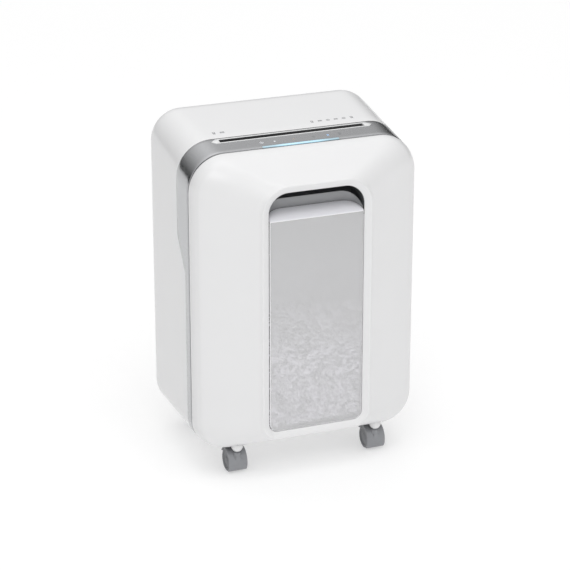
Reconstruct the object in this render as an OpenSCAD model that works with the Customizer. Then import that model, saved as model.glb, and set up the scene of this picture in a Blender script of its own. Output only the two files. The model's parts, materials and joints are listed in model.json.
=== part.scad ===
/* [Body] */
// Overall width of the shredder
body_w = 360; // [350:1:440]
// Overall depth, window frame to rear wall
body_d = 262; // [250:1:316]
// Height above the floor that the sloping top reaches at the rear wall
body_h = 534; // [515:1:642]
// How far the top falls from the rear wall to the front seam
top_fall = 23; // [10:1:30]
// Corner radius of the body seen from the front
corner_r = 56; // [40:1:60]
// Wall thickness of the white shells
wall = 3; // [2.5:0.5:4]
// Height of the underside above the floor
floor_gap = 44; // [42:1:54]
// Depth of the pull-out front shell, measured back from the window frame
front_d = 65; // [58:1:78]
// Shadow gap between the front shell and the silver band
seam_gap = 2.5; // [1.5:0.5:4]
// Rounding of the rear edges
rear_round = 30; // [20:1:40]

/* [Silver band] */
// Depth of the band over the top and down the upper sides
band_wide = 50; // [44:1:60]
// Depth of the band low on the sides
band_narrow = 16; // [10:1:24]
// Height where the band starts to narrow
band_step_z = 369; // [310:1:420]
// Height over which the band narrows
band_taper_h = 44; // [20:1:60]

/* [Paper entry] */
// Width of the paper slot
slot_w = 230; // [200:1:236]
// Clear gap of the paper slot
slot_gap = 6; // [5:0.5:9]
// Distance from the front seam back to the slot
slot_back = 40; // [36:1:46]

/* [Front opening] */
// Width of the opening in the front shell
opening_w = 152; // [120:1:170]
// Height of the top of the opening above the underside
opening_top = 415; // [380:1:422]
// Height of the bottom of the opening above the underside
opening_low = 33; // [26:1:44]
// Height of the finger recess above the window
recess_h = 42; // [34:1:50]
// Width of the sloped frame round the opening
frame_w = 10; // [8:1:14]
// Gap between the window and its frame
window_gap = 1.2; // [0.8:0.2:2]

/* [Bin] */
// Height of the bin tub
tub_h = 286; // [250:1:294]
// Wall thickness of the bin tub
tub_wall = 2.5; // [2:0.5:4]
// Clearance between the tub and the shell beside it
tub_side_gap = 13; // [12:1:16]

/* [Cutter] */
// Distance between the two cutter shafts
shaft_gap = 40; // [38:0.5:44]
// Radius of a cutting disc to its hook tips
disc_r = 22; // [21:0.5:23]
// Thickness of a cutting disc
disc_t = 5; // [3:0.5:5]
// Number of discs on each shaft
disc_n = 20; // [10:1:20]
// Radius of the shaft journals
journal_r = 8; // [6:0.5:9]
// Radial running clearance of shafts and pins in their bores
run_fit = 0.05; // [0.02:0.01:0.1]

/* [Casters] */
// Radius of a caster wheel
wheel_r = 17.5; // [15:0.5:18.5]
// Width of one caster wheel
wheel_w = 10; // [8:0.5:12]
// Offset of the wheel axle behind the swivel axis
trail = 14; // [12:0.5:16]
// Distance of the swivel axes in from the sides of the body
caster_in_x = 65; // [60:1:75]
// Distance of the swivel axes in from the front and rear
caster_in_y = 42; // [38:1:50]
// Radius of a caster stem
stem_r = 4; // [3:0.5:5]

/* [Hidden] */

$fn = 64;
eps = 0.01;
half_w = body_w / 2;
rocker_proud = 3.4;
front_y = -(body_d + rocker_proud) / 2;
rear_y = front_y + body_d;
seam_y = front_y + front_d;
band_y = seam_y + seam_gap;
band_back_y = band_y + band_wide;
band_low_y = band_y + band_narrow;
low_z = floor_gap;
front_top_z = body_h - top_fall;
top_run = rear_y - seam_y;
top_angle = atan(top_fall / top_run);
rear_r = corner_r - 8;
slot_y = seam_y + slot_back;

// Front shell levels
open_top_z = low_z + opening_top;
open_low_z = low_z + opening_low;
window_top_z = open_top_z - recess_h;
open_half = opening_w / 2;
open_r_top = 31;
open_r_low = 14;
window_t = 3;
window_y = front_y + 3.6;
cover_y = seam_y - 9;
cover_t = 2.5;
scoop_t = 2.5;
scoop_back_y = window_y + 27;
scoop_lip_z = window_top_z + 11;
scoop_top_z = window_top_z + 26;

// Bin levels
tub_z = low_z + 16;
tub_top_z = tub_z + tub_h;
tub_half = half_w - wall - tub_side_gap;
tub_rear_y = rear_y - 39;
rim_t = 3;
rim_half = half_w - wall - 3.5;
rail_gap = 0.5;
heap_h = 145;
rail_t = 8;
rail_in = tub_half + 3.5;

// Head levels and cutter axes
deck_z = tub_top_z + 7;
deck_t = 4;
axis_z = deck_z + 68;
front_axis_y = slot_y - shaft_gap / 2;
rear_axis_y = slot_y + shaft_gap / 2;
core_r = 14;
plate_t = 3;
plate_in = slot_w / 2 + 10;
plate_out = plate_in + plate_t;
plate_front_y = front_axis_y - 16;
plate_rear_y = rear_axis_y + 102;
plate_top_z = axis_z + 56;
tie_z = plate_top_z - 9;
tie_points = [[plate_front_y + 7, tie_z], [rear_axis_y + 44, tie_z], [plate_rear_y - 9, tie_z]];
disc_pitch = slot_w / disc_n;
bush_r = journal_r + 3.5;

// Gear train, in planes outside the left side plate
teeth_small = 14;
teeth_drive = 44;
teeth_second = 48;
teeth_first = 56;
teeth_sync = 24;
mod_drive = 1.5;
mod_second = 1.25;
mod_first = 1;
mod_sync = shaft_gap / teeth_sync;
backlash = 0.16;
pressure_angle = 20;
gear_t = 8;
plane_step = 9;
plane_1 = -plate_out - 2;
plane_2 = plane_1 - plane_step;
plane_3 = plane_2 - plane_step;
cover_x = plane_3 - plane_step - 1;
pin_r = 4;
center_drive = mod_drive * (teeth_drive + teeth_small) / 2;
center_second = mod_second * (teeth_second + teeth_small) / 2;
center_first = mod_first * (teeth_first + teeth_small) / 2;
motor_y = rear_axis_y + 70;
motor_z = axis_z + 7;
second_run = 38;
second_y = rear_axis_y + second_run;
second_z = axis_z - sqrt(center_drive * center_drive - second_run * second_run);
to_motor = norm([motor_y - second_y, motor_z - second_z]);
first_turn = acos((center_second * center_second + to_motor * to_motor - center_first * center_first)
                  / (2 * center_second * to_motor));
first_angle = atan2(motor_z - second_z, motor_y - second_y) + first_turn;
first_y = second_y + center_second * cos(first_angle);
first_z = second_z + center_second * sin(first_angle);
drive_angle = atan2(axis_z - second_z, rear_axis_y - second_y);
second_angle = atan2(second_z - first_z, second_y - first_y);
pinion_angle = atan2(first_z - motor_z, first_y - motor_y);

// Motor
motor_r = 33;
motor_x = -plate_in;
motor_len = 128;
motor_end_x = motor_x + motor_len;
shaft_r = 4;
fan_x = motor_end_x + 9;

// Rear wall fittings
rear_in_y = rear_y - wall;
switch_x = -half_w + 62;
switch_z = deck_z + 92;
gland_x = -half_w + 62;
gland_z = low_z + 46;
gland_r = 3.6;
screw_x = plate_in - 6;
screw_low_z = low_z + 26;
screw_high_z = deck_z + 40;
screw_r = 2;
screw_head_r = 4;
upstand_y = rear_y - 34;
deck_screw_x = plate_in - 8;
deck_screw_rows = [rear_axis_y + 40, plate_rear_y - 12];
drop_half = slot_w / 2 + 4;

// Light bar and entry lip
light_half = 61;
light_d = 5;
lip_half = slot_w / 2 + 14;
lip_back = 8.5;
lip_front = 6;

// Sensor, interlock and cover screws
lever_y = slot_y + 13;
lever_z = front_top_z - 22;
magnet_x = 70;
magnet_z = tub_top_z - 16;
magnet_t = 3;
cover_screw_x = [-120, -40, 40, 120];
cover_screw_z = tub_top_z + 10;
cover_screw_r = 1.6;

// Casters
caster_x = half_w - caster_in_x;
boss_r = 9;
caster_front_y = front_y + caster_in_y;
caster_rear_y = rear_y - caster_in_y;
boss_low_z = low_z - 6;
tray_z = low_z + 8;
tray_t = 3;
tray_half = screw_x + 11;
tongue_half = 12;
notch_half = tongue_half + 2;
hood_r = wheel_r + 2.5;
hood_gap = 0.8;
web_w = 8;
axle_r = 2.5;
neck_r = 6;

white = "#f1f1f2";
silver = "#a9abae";
grey = "#8e9094";
dark = "#3b3c40";
steel = "#b9bcc0";
black = "#1d1d20";
brass = "#b79a55";

// ---------- shape helpers ----------

// Box given by its low and high corner along each axis
module block(x, y, z) {
    translate([x[0], y[0], z[0]]) cube([x[1] - x[0], y[1] - y[0], z[1] - z[0]]);
}

// Round bar along X, Y or Z, from a to b
module bar_x(a, b, r, y, z) {
    translate([a, y, z]) rotate([0, 90, 0]) cylinder(h = b - a, r = r);
}
module bar_y(a, b, r, x, z) {
    translate([x, b, z]) rotate([90, 0, 0]) cylinder(h = b - a, r = r);
}
module bar_z(a, b, r, x, y) {
    translate([x, y, a]) cylinder(h = b - a, r = r);
}

// Flat outline in Y and Z, drawn out along X from a to b
module along_x(a, b) {
    translate([a, 0, 0]) rotate([90, 0, 90]) linear_extrude(b - a) children();
}

// Flat outline in X and Z, drawn out along Y from a to b
module along_y(a, b) {
    translate([0, b, 0]) rotate([90, 0, 0]) linear_extrude(b - a) children();
}

// Flat outline in X and Y, drawn up along Z from a to b
module along_z(a, b) {
    translate([0, 0, a]) linear_extrude(b - a) children();
}

// Upright rectangle centred on X = 0 with its own top and bottom corner radii
module round_rect(half, z0, z1, r0, r1) {
    polygon([
        [r0 - half, z0], [half - r0, z0], [half, z0 + r0], [half, z1 - r1],
        [half - r1, z1], [r1 - half, z1], [-half, z1 - r1], [-half, z0 + r0]
    ]);
    for (side = [-1, 1]) {
        translate([side * (half - r0), z0 + r0]) circle(r0);
        translate([side * (half - r1), z1 - r1]) circle(r1);
    }
}

// Four short posts at the corners of a section of the body, for a hull
module section_posts(y, half, z0, z1, r) {
    for (side = [-1, 1], z = [z0 + r, z1 - r]) {
        translate([side * (half - r), y, z]) rotate([90, 0, 0]) cylinder(h = 0.5, r = r, $fn = 40);
    }
}

// Height of the sloping top at a given depth
function top_at(y) = front_top_z + (y - seam_y) * tan(top_angle);

// Places children on the sloping top, centred at depth y
module on_top(y) {
    translate([0, y, top_at(y)]) rotate([top_angle, 0, 0]) children();
}

// ---------- body envelope ----------

// Outer form behind the seam, drawn in by inset on every side
module housing_form(inset) {
    rear = rear_y - inset;
    hull() {
        section_posts(seam_y, half_w - inset, low_z + inset, front_top_z - inset, corner_r - inset);
        for (turn = [0, 25, 50, 72, 90]) {
            draw_in = rear_round * (1 - cos(turn)) * 0.7 + inset;
            section_posts(rear - rear_round * (1 - sin(turn)), half_w - draw_in, low_z + draw_in,
                          top_at(rear - rear_round * (1 - sin(turn))) - draw_in, rear_r - draw_in / 2);
        }
    }
}

// Outer form of the front shell, drawn in by inset on every side
module front_form(inset) {
    frame_half = open_half + frame_w;
    front = front_y + inset;
    hull() {
        section_posts(seam_y, half_w - inset, low_z + inset, front_top_z - inset, corner_r - inset);
        section_posts(seam_y - 9, half_w - 0.8 - inset, low_z + 0.8 + inset, front_top_z - 1 - inset,
                      corner_r - inset);
        section_posts(seam_y - 17, half_w - 5 - inset, low_z + 3 + inset, front_top_z - 4 - inset,
                      corner_r - 2 - inset);
        section_posts(seam_y - 24, half_w - 12 - inset, low_z + 6 + inset, front_top_z - 8 - inset,
                      corner_r - 4 - inset);
        section_posts(front + 0.5, frame_half + 1, open_low_z - frame_w, open_top_z + frame_w,
                      open_r_top + frame_w / 2);
    }
}

// Side view of the region that the band covers
module band_region(back) {
    polygon([
        [band_y, 0], [band_low_y + back, 0], [band_low_y + back, band_step_z - band_taper_h],
        [band_back_y + back, band_step_z], [band_back_y + back, body_h + 50], [band_y, body_h + 50]
    ]);
}

// Thin wall of the housing between its outer and inner forms
module housing_wall() {
    difference() {
        housing_form(0);
        translate([0, -eps, 0]) housing_form(wall);
        block([-half_w, half_w], [seam_y - 10, seam_y + 0.6], [0, body_h + 50]);
    }
}

// ---------- housing ----------

module rear_shell() {
    color(white) difference() {
        union() {
            difference() {
                housing_wall();
                along_x(-half_w - 1, half_w + 1) polygon([
                    [seam_y - 20, 0], [band_low_y, 0], [band_low_y, band_step_z - band_taper_h],
                    [band_back_y, band_step_z], [band_back_y, body_h + 50], [seam_y - 20, body_h + 50]
                ]);
            }
            deck_ledges();
            for (side = [-1, 1], p = [[screw_low_z, upstand_y], [screw_high_z, plate_rear_y]]) {
                bar_y(p[1], rear_in_y + 1, 5, side * screw_x, p[0]);
            }
        }
        switch_cutout();
        bar_y(rear_in_y - 8, rear_y + 1, 7, gland_x, gland_z);
        for (side = [-1, 1], z = [screw_low_z, screw_high_z]) {
            bar_y(upstand_y - 5, rear_y + 1, screw_r + 0.3, side * screw_x, z);
        }
        vent_slots();
        for (side = [-1, 1]) {
            bar_z(low_z - 1, low_z + wall + 1, boss_r, side * caster_x, caster_rear_y);
        }
    }
}

// Ledges on the side walls that the cutter deck rests on
module deck_ledges() {
    for (side = [-1, 1]) {
        x = side * (half_w - wall - 3);
        block([x - 4, x + 4], [band_back_y, upstand_y], [deck_z - 6, deck_z]);
    }
}

module switch_cutout() {
    block([switch_x - 11, switch_x + 11], [rear_in_y - 8, rear_y + 1], [switch_z - 15, switch_z + 15]);
}

// Cooling slots in the rear wall behind the motor
module vent_slots() {
    for (i = [0:11]) {
        x = -55 + i * 10;
        block([x - 1.6, x + 1.6], [rear_in_y - 8, rear_y + 1], [axis_z - 24, axis_z + 24]);
        bar_y(rear_in_y - 8, rear_y + 1, 1.6, x, axis_z - 24);
        bar_y(rear_in_y - 8, rear_y + 1, 1.6, x, axis_z + 24);
    }
}

module top_band() {
    color(silver) difference() {
        intersection() {
            housing_wall();
            along_x(-half_w - 1, half_w + 1) band_region(0);
        }
        on_top(slot_y) along_z(-8, 8) lip_outline(0);
        on_top(band_y) block([-light_half, light_half], [-5, light_d], [-1.4, 5]);
    }
}

// Outline of the paper entry lip, drawn in by inset
module lip_outline(inset) {
    half = lip_half - inset;
    back = lip_back - inset;
    front = inset - lip_front;
    polygon([
        [6 - half, front], [half - 6, front], [half, 0], [half - back, back], [back - half, back],
        [-half, 0]
    ]);
}

// Lip round the slot: a shallow funnel with its own rim
module entry_lip() {
    color("#d9dadc") difference() {
        on_top(slot_y) along_z(-wall, 0.6) lip_outline(0);
        funnel();
    }
}

// Funnel that narrows to the slot
module funnel() {
    on_top(slot_y) along_x(-slot_w / 2 - 1, slot_w / 2 + 1) polygon([
        [-4.2, 2], [5.4, 2], [slot_gap / 2, -wall - 1], [-slot_gap / 2, -wall - 1]
    ]);
}

// Black guide plates that lead the sheet from the slot to the cutters
module paper_throat() {
    color(black) difference() {
        along_x(-drop_half, drop_half) polygon([
            [slot_y - slot_gap / 2 - 2, axis_z + 26], [slot_y + slot_gap / 2 + 2, axis_z + 26],
            [slot_y + slot_gap / 2 + 2, top_at(slot_y) - wall - 0.3],
            [slot_y - slot_gap / 2 - 2, top_at(slot_y) - wall - 0.8]
        ]);
        block([-slot_w / 2, slot_w / 2], [slot_y - slot_gap / 2, slot_y + slot_gap / 2],
              [axis_z, body_h]);
        block([-6, 6], [slot_y, slot_y + 20], [lever_z - 30, body_h]);
    }
}

module light_bar() {
    color("#bfe3f5") on_top(band_y) block([-light_half, light_half], [0, light_d], [-1.4, 0]);
}

// Touch sensor board right under the band
module touch_board() {
    color("#2c6e49") on_top(band_y) {
        block([-80, 80], [light_d + 1, 31], [-wall - 1.8, -wall]);
        for (i = [-3:3]) {
            block([i * 20 - 4, i * 20 + 4], [14, 22], [-wall - 3.8, -wall - 1.8]);
        }
    }
}

module base_tray() {
    color(dark) difference() {
        union() {
            block([-tray_half, tray_half], [band_y + 4, upstand_y], [tray_z, tray_z + tray_t]);
            for (side = [-1, 1]) {
                x = side * caster_x;
                bar_z(tray_z, tray_z + tray_t, tongue_half, x, caster_front_y);
                block([x - tongue_half, x + tongue_half], [caster_front_y, band_y + 5],
                      [tray_z, tray_z + tray_t]);
                block([x - 8, x + 8], [band_low_y + 8, upstand_y - 20], [low_z + wall, tray_z + 1]);
            }
            block([-tray_half, tray_half], [upstand_y - tray_t, upstand_y], [tray_z, screw_low_z + 8]);
        }
        for (x = [-caster_x, caster_x], y = [caster_front_y, caster_rear_y]) {
            bar_z(0, tray_z + 20, boss_r, x, y);
        }
        for (side = [-1, 1]) {
            bar_y(upstand_y - 10, upstand_y + 10, screw_r, side * screw_x, screw_low_z);
        }
    }
}

// White bosses that hold the caster stems
module caster_sockets() {
    color(white) for (x = [-caster_x, caster_x], y = [caster_front_y, caster_rear_y]) {
        difference() {
            union() {
                bar_z(low_z - 1, tray_z + tray_t, boss_r, x, y);
                translate([x, y, boss_low_z])
                    cylinder(h = low_z - boss_low_z - 1, r1 = boss_r - 3, r2 = boss_r);
            }
            bar_z(0, tray_z + tray_t - 1, stem_r + run_fit, x, y);
        }
    }
}

module cutter_deck() {
    deck_half = half_w - wall - 3;
    color(dark) difference() {
        block([-deck_half, deck_half], [band_low_y + 6, upstand_y], [deck_z, deck_z + deck_t]);
        block([-drop_half, drop_half], [front_axis_y - 30, rear_axis_y + disc_r + 4],
              [deck_z - 1, deck_z + deck_t + 1]);
        for (side = [-1, 1], y = deck_screw_rows) {
            bar_z(deck_z - 1, deck_z + deck_t + 1, screw_r, side * deck_screw_x, y);
        }
    }
}

module side_plate(side) {
    x0 = side < 0 ? -plate_out : plate_in;
    difference() {
        union() {
            block([x0, x0 + plate_t], [plate_front_y, plate_rear_y], [deck_z + deck_t, plate_top_z]);
            flange_x = side < 0 ? [x0, x0 + plate_t + 12] : [x0 - 12, x0 + plate_t];
            block(flange_x, [rear_axis_y + 34, plate_rear_y], [deck_z + deck_t, deck_z + deck_t + plate_t]);
            block(flange_x, [plate_rear_y - plate_t, plate_rear_y], [screw_high_z - 9, screw_high_z + 9]);
        }
        for (y = [front_axis_y, rear_axis_y]) {
            bar_x(x0 - 1, x0 + plate_t + 1, bush_r, y, axis_z);
        }
        for (p = tie_points) {
            bar_x(x0 - 1, x0 + plate_t + 1, 3, p[0], p[1]);
        }
        if (side < 0) {
            bar_x(x0 - 1, x0 + plate_t + 1, 6, motor_y, motor_z);
        }
        for (y = deck_screw_rows) {
            bar_z(deck_z - 1, deck_z + deck_t + 6, screw_r, side * deck_screw_x, y);
        }
        bar_y(plate_rear_y - 8, plate_rear_y + 1, screw_r, side * screw_x, screw_high_z);
    }
}

module left_side_plate() {
    color(steel) side_plate(-1);
}
module right_side_plate() {
    color(steel) side_plate(1);
}

module tie_rods() {
    color(steel) for (p = tie_points) {
        bar_x(-plate_in, plate_in, 5, p[0], p[1]);
        bar_x(-plate_out - 1.5, plate_out + 1.5, 3, p[0], p[1]);
    }
}

module shaft_bushes() {
    color(brass) for (x = [-plate_out, plate_in], y = [front_axis_y, rear_axis_y]) {
        difference() {
            bar_x(x, x + plate_t, bush_r, y, axis_z);
            bar_x(x - 1, x + plate_t + 1, journal_r + run_fit, y, axis_z);
        }
    }
}

// Comb below one cutter shaft, with a finger in each gap between its discs
module stripper(y, shift) {
    finger_w = disc_pitch - disc_t - 2;
    color(dark) {
        block([-plate_in, plate_in], [y - 8, y + 8], [axis_z - disc_r - 10, axis_z - disc_r - 2]);
        for (i = [0:disc_n - 2]) {
            x = -slot_w / 2 + disc_pitch * (i + 0.75) + shift + disc_pitch / 4;
            block([x - finger_w / 2, x + finger_w / 2], [y - 6, y + 6],
                  [axis_z - disc_r - 3, axis_z - core_r - 1.5]);
        }
    }
}
module front_stripper() {
    stripper(front_axis_y, -disc_pitch / 4);
}
module rear_stripper() {
    stripper(rear_axis_y, disc_pitch / 4);
}

// ---------- cutters ----------

// Shaft with a thick core between the side plates and a journal at each end
module cutter_shaft(y, left_end, right_end) {
    color(steel) {
        bar_x(0.6 - plate_in, plate_in - 0.6, core_r, y, axis_z);
        bar_x(left_end, right_end, journal_r, y, axis_z);
    }
}
module front_cutter_shaft() {
    cutter_shaft(front_axis_y, -plate_out, plate_out + gear_t + 2);
}
module rear_cutter_shaft() {
    cutter_shaft(rear_axis_y, plane_1 - gear_t, plate_out + gear_t + 2);
}

// Outline of one disc with hooked teeth
module disc_outline() {
    hooks = 9;
    difference() {
        polygon([for (i = [0:hooks - 1], p = [[disc_r, 0], [disc_r - 1, 14], [disc_r - 3, 30]])
            p[0] * [cos(i * 360 / hooks + p[1]), sin(i * 360 / hooks + p[1])]]);
        circle(core_r);
    }
}

// Stack of discs; shift sets where the stack stands along the shaft
module cutter_discs(y, shift) {
    color("#8d9094") for (i = [0:disc_n - 1]) {
        x = -slot_w / 2 + disc_pitch * (i + 0.5) + shift;
        translate([0, y, axis_z]) along_x(x - disc_t / 2, x + disc_t / 2) disc_outline();
    }
}
module front_cutter_discs() {
    cutter_discs(front_axis_y, -disc_pitch / 4);
}
module rear_cutter_discs() {
    cutter_discs(rear_axis_y, disc_pitch / 4);
}

// ---------- gears ----------

// Involute function of the angle whose cosine is base radius over radius
function involute(base, r) = base >= r ? 0 : tan(acos(base / r)) * 180 / PI - acos(base / r);

// Half angle of a tooth at radius r
function tooth_half(teeth, mod, base, r) =
    90 / teeth - backlash / mod / teeth * 180 / PI
    + involute(base, mod * teeth / 2) - involute(base, r);

// Spur gear outline with a tooth centred on the first axis, turned by turn
module gear_outline(teeth, mod, turn, bore) {
    pitch_r = mod * teeth / 2;
    base = pitch_r * cos(pressure_angle);
    tip = pitch_r + 0.8 * mod;
    root = pitch_r - 1.1 * mod;
    low = max(base, root);
    radii = [root, low, low + (tip - low) * 0.3, low + (tip - low) * 0.65, tip];
    difference() {
        rotate(turn) polygon([for (i = [0:teeth - 1], side = [-1, 1], k = [0:4])
            let (r = radii[side < 0 ? k : 4 - k],
                 a = i * 360 / teeth + side * tooth_half(teeth, mod, base, max(r, low)))
            r * [cos(a), sin(a)]]);
        if (bore > 0) {
            circle(bore);
        }
    }
}

// One gear standing between x - gear_t and x
module gear(x, y, z, teeth, mod, turn, bore) {
    translate([0, y, z]) along_x(x - gear_t, x) gear_outline(teeth, mod, turn, bore);
}

// Turn that puts a gap of the driven gear on the line back to the driving gear
function gap_turn(angle, teeth) = angle + 180 + 180 / teeth;

module front_sync_gear() {
    color(grey) gear(plate_out + gear_t + 1, front_axis_y, axis_z, teeth_sync, mod_sync, 0, journal_r);
}
module rear_sync_gear() {
    color(grey) gear(plate_out + gear_t + 1, rear_axis_y, axis_z, teeth_sync, mod_sync,
                     gap_turn(0, teeth_sync), journal_r);
}

module drive_gear() {
    color(grey) gear(plane_1, rear_axis_y, axis_z, teeth_drive, mod_drive,
                     gap_turn(drive_angle, teeth_drive), journal_r);
}

// Wheel and pinion in one piece, turning on a fixed pin
module second_reduction_gear() {
    color("#e6e2d6") {
        gear(plane_1, second_y, second_z, teeth_small, mod_drive, drive_angle, pin_r + run_fit);
        gear(plane_2, second_y, second_z, teeth_second, mod_second,
             gap_turn(second_angle, teeth_second), pin_r + run_fit);
        gear_neck(plane_2, second_y, second_z);
    }
}
module first_reduction_gear() {
    color("#e6e2d6") {
        gear(plane_2, first_y, first_z, teeth_small, mod_second, second_angle, pin_r + run_fit);
        gear(plane_3, first_y, first_z, teeth_first, mod_first,
             gap_turn(pinion_angle, teeth_first), pin_r + run_fit);
        gear_neck(plane_3, first_y, first_z);
    }
}

// Neck that joins the wheel and the pinion of one reduction gear
module gear_neck(x, y, z) {
    difference() {
        bar_x(x, x + plane_step - gear_t, pin_r + 3, y, z);
        bar_x(x - 1, x + plane_step, pin_r + run_fit, y, z);
    }
}

module motor_pinion() {
    color(brass) gear(plane_3, motor_y, motor_z, teeth_small, mod_first, pinion_angle, shaft_r);
}

module gear_pins() {
    color(steel) for (p = [[first_y, first_z], [second_y, second_z]]) {
        bar_x(cover_x, -plate_out, pin_r, p[0], p[1]);
    }
}

module gearbox_cover() {
    y0 = rear_axis_y - 40;
    y1 = motor_y + 14;
    z0 = deck_z + deck_t + 2;
    z1 = first_z + center_first + 3;
    color(dark) difference() {
        block([cover_x - 3, -plate_out], [y0, y1], [z0, z1]);
        block([cover_x, -plate_out + 1], [y0 + 2, y1 - 2], [z0 + 2, z1 - 2]);
    }
}

// ---------- motor ----------

module motor_case() {
    color("#55585c") difference() {
        bar_x(motor_x, motor_end_x, motor_r, motor_y, motor_z);
        bar_x(motor_x + 3, motor_end_x + 1, motor_r - 3, motor_y, motor_z);
        bar_x(motor_x - 1, motor_x + 4, 8, motor_y, motor_z);
    }
}
module motor_end_cap() {
    color("#a7a9ac") difference() {
        union() {
            bar_x(motor_end_x, motor_end_x + 3, motor_r, motor_y, motor_z);
            bar_x(motor_end_x - 4, motor_end_x, motor_r - 3, motor_y, motor_z);
        }
        bar_x(motor_end_x - 5, motor_end_x + 4, 8, motor_y, motor_z);
        for (a = [0:60:300]) {
            translate([0, motor_y, motor_z]) rotate([a, 0, 0])
                bar_x(motor_end_x - 5, motor_end_x + 4, 5, 20, 0);
        }
    }
}
module motor_bushes() {
    color(brass) for (x = [motor_x, motor_end_x]) {
        difference() {
            bar_x(x, x + 3, 8, motor_y, motor_z);
            bar_x(x - 1, x + 4, shaft_r + run_fit, motor_y, motor_z);
        }
    }
}
module motor_rotor() {
    color("#8a6a4a") {
        bar_x(plane_3 - gear_t, fan_x + 12, shaft_r, motor_y, motor_z);
        bar_x(motor_x + 24, motor_end_x - 34, 22, motor_y, motor_z);
        bar_x(motor_end_x - 28, motor_end_x - 12, 11, motor_y, motor_z);
    }
}
module cooling_fan() {
    color(black) translate([0, motor_y, motor_z]) {
        difference() {
            bar_x(fan_x, fan_x + 10, 9, 0, 0);
            bar_x(fan_x - 1, fan_x + 11, shaft_r, 0, 0);
        }
        for (a = [0:45:315]) {
            rotate([a, 0, 0]) block([fan_x + 1, fan_x + 9], [8, 30], [-1, 1]);
        }
    }
}

// ---------- electrics ----------

module power_board() {
    y = upstand_y - 1;
    color("#2c6e49") {
        block([26, 104], [y, y + 2], [deck_z + deck_t, deck_z + 92]);
        block([34, 56], [y + 2, y + 20], [deck_z + 20, deck_z + 44]);
        for (i = [0:2]) {
            bar_y(y + 2, y + 22, 8, 70, deck_z + 24 + i * 24);
        }
        block([84, 98], [y + 2, y + 14], [deck_z + 30, deck_z + 60]);
    }
}

module switch_bezel() {
    color(black) difference() {
        union() {
            block([switch_x - 11, switch_x + 11], [rear_in_y - 12, rear_y], [switch_z - 15, switch_z + 15]);
            block([switch_x - 14, switch_x + 14], [rear_y, rear_y + 1.8], [switch_z - 18, switch_z + 18]);
        }
        block([switch_x - 8, switch_x + 8], [rear_in_y - 9, rear_y + 3], [switch_z - 12.8, switch_z + 12.8]);
        bar_x(switch_x - 9.5, switch_x + 9.5, 1.6, rear_y - 5, switch_z);
    }
}

// Rocker with its pivot stubs; its face is a shallow vee
module rocker_switch() {
    color("#2a2a2d") {
        along_x(switch_x - 7.6, switch_x + 7.6) polygon([
            [rear_y - 7, switch_z - 6], [rear_y + 0.5, switch_z - 11.4], [rear_y + 1.2, switch_z - 11.4],
            [rear_y - 0.6, switch_z], [rear_y + rocker_proud, switch_z + 10.8],
            [rear_y + 0.5, switch_z + 11.4], [rear_y - 7, switch_z + 6]
        ]);
        bar_x(switch_x - 9.2, switch_x + 9.2, 1.5, rear_y - 5, switch_z);
    }
}

// Flanged bush where the mains lead enters
module cord_gland() {
    color(black) difference() {
        union() {
            bar_y(rear_in_y - 6, rear_y, 7, gland_x, gland_z);
            bar_y(rear_y, rear_y + 2.5, 9, gland_x, gland_z);
        }
        bar_y(rear_in_y - 10, rear_y + 4, gland_r, gland_x, gland_z);
    }
}

// ---------- rails, sensor, interlock, screws ----------

module rail(side) {
    x0 = side < 0 ? -half_w + wall : rail_in;
    x1 = side < 0 ? -rail_in : half_w - wall;
    color(dark) block([x0, x1], [band_y + 6, upstand_y - 6],
                      [tub_top_z - rim_t - rail_gap - rail_t, tub_top_z - rim_t - rail_gap]);
}
module left_rail() {
    rail(-1);
}
module right_rail() {
    rail(1);
}

module sensor_bracket() {
    color(dark) difference() {
        block([-12, 12], [slot_y + slot_gap / 2 + 2, lever_y + 6], [lever_z - 6, lever_z + 6]);
        block([-5, 5], [lever_y - 12, lever_y + 3], [lever_z - 9, lever_z + 9]);
        bar_x(-13, 13, 1.5, lever_y, lever_z);
    }
}

// Lever whose tip stands in the throat; a sheet pushes it back
module sensor_lever() {
    color("#c9342b") {
        bar_x(-11, 11, 1.5 - run_fit, lever_y, lever_z);
        along_x(-3, 3) polygon([
            [lever_y - 2.4, lever_z + 2], [lever_y + 2, lever_z + 2], [lever_y + 2, lever_z - 2.4],
            [slot_y - 1.5, lever_z - 14], [slot_y - 1.5, lever_z - 9]
        ]);
    }
}

// Magnetic switch under the deck, facing the magnet on the tub
module interlock_switch() {
    y = tub_rear_y + magnet_t + 2;
    color(black) block([magnet_x - 10, magnet_x + 10], [y, y + 12], [magnet_z - 8, deck_z]);
}
module interlock_magnet() {
    color(grey) block([magnet_x - 8, magnet_x + 8], [tub_rear_y, tub_rear_y + magnet_t],
                      [magnet_z - 5, magnet_z + 5]);
}

module rear_screws() {
    color(steel) for (side = [-1, 1]) {
        screw_y(side * screw_x, screw_low_z, upstand_y - tray_t - 2);
        screw_y(side * screw_x, screw_high_z, plate_rear_y - plate_t - 2);
    }
}

// Screw along Y with its head on the rear wall
module screw_y(x, z, tip_y) {
    bar_y(tip_y, rear_y, screw_r, x, z);
    bar_y(rear_y, rear_y + 2, screw_head_r, x, z);
}

module deck_screws() {
    color(steel) for (side = [-1, 1], y = deck_screw_rows) {
        head_z = deck_z + deck_t + plate_t;
        bar_z(deck_z, head_z, screw_r, side * deck_screw_x, y);
        bar_z(head_z, head_z + 2, screw_head_r, side * deck_screw_x, y);
    }
}

// ---------- pull-out drawer ----------

// Outline of the opening in the front shell
module opening_outline(grow) {
    round_rect(open_half + grow, open_low_z - grow, open_top_z + grow, open_r_low + grow,
               open_r_top + grow);
}

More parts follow.
